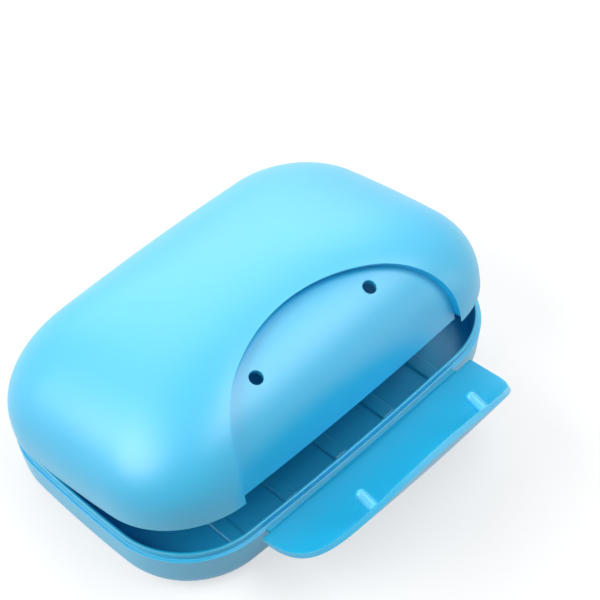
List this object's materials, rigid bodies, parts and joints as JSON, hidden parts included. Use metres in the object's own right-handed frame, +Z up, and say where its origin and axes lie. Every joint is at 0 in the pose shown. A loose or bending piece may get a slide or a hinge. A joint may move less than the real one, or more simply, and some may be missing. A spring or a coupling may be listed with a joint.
{
  "type": "covered soap dish",
  "caption": "Travel soap dish: shallow tray, domed lid on a thin film hinge at the back, and a curved latch flap at the front whose pegs snap into the lid.",
  "frame": {"origin": "centre of the tray's flat underside, on the table", "axes": "+X along the box, +Z up, -Y to the front, where the latch flap is"},
  "size_m": [0.115, 0.1016, 0.0474],
  "materials": {
    "plastic": "satin",
    "film": "satin"
  },
  "bodies": {
    "tray": {"tray": "plastic", "lid_hinge_film": "film", "flap_hinge_film": "film"},
    "lid": {"lid": "plastic"},
    "flap": {"latch_flap": "plastic"}
  },
  "joints": [
    {"name": "lid_hinge", "type": "hinge", "parent": "tray", "child": "lid", "pos_m": [0, 0.0394, 0.01255], "axis": [-1, 0, 0], "range_deg": [-9.6, 140], "deforming": ["lid_hinge_film"]},
    {"name": "flap_hinge", "type": "hinge", "parent": "tray", "child": "flap", "pos_m": [0, -0.039, 0.0124], "axis": [1, 0, 0], "range_deg": [-50, 60], "deforming": ["flap_hinge_film"]}
  ]
}
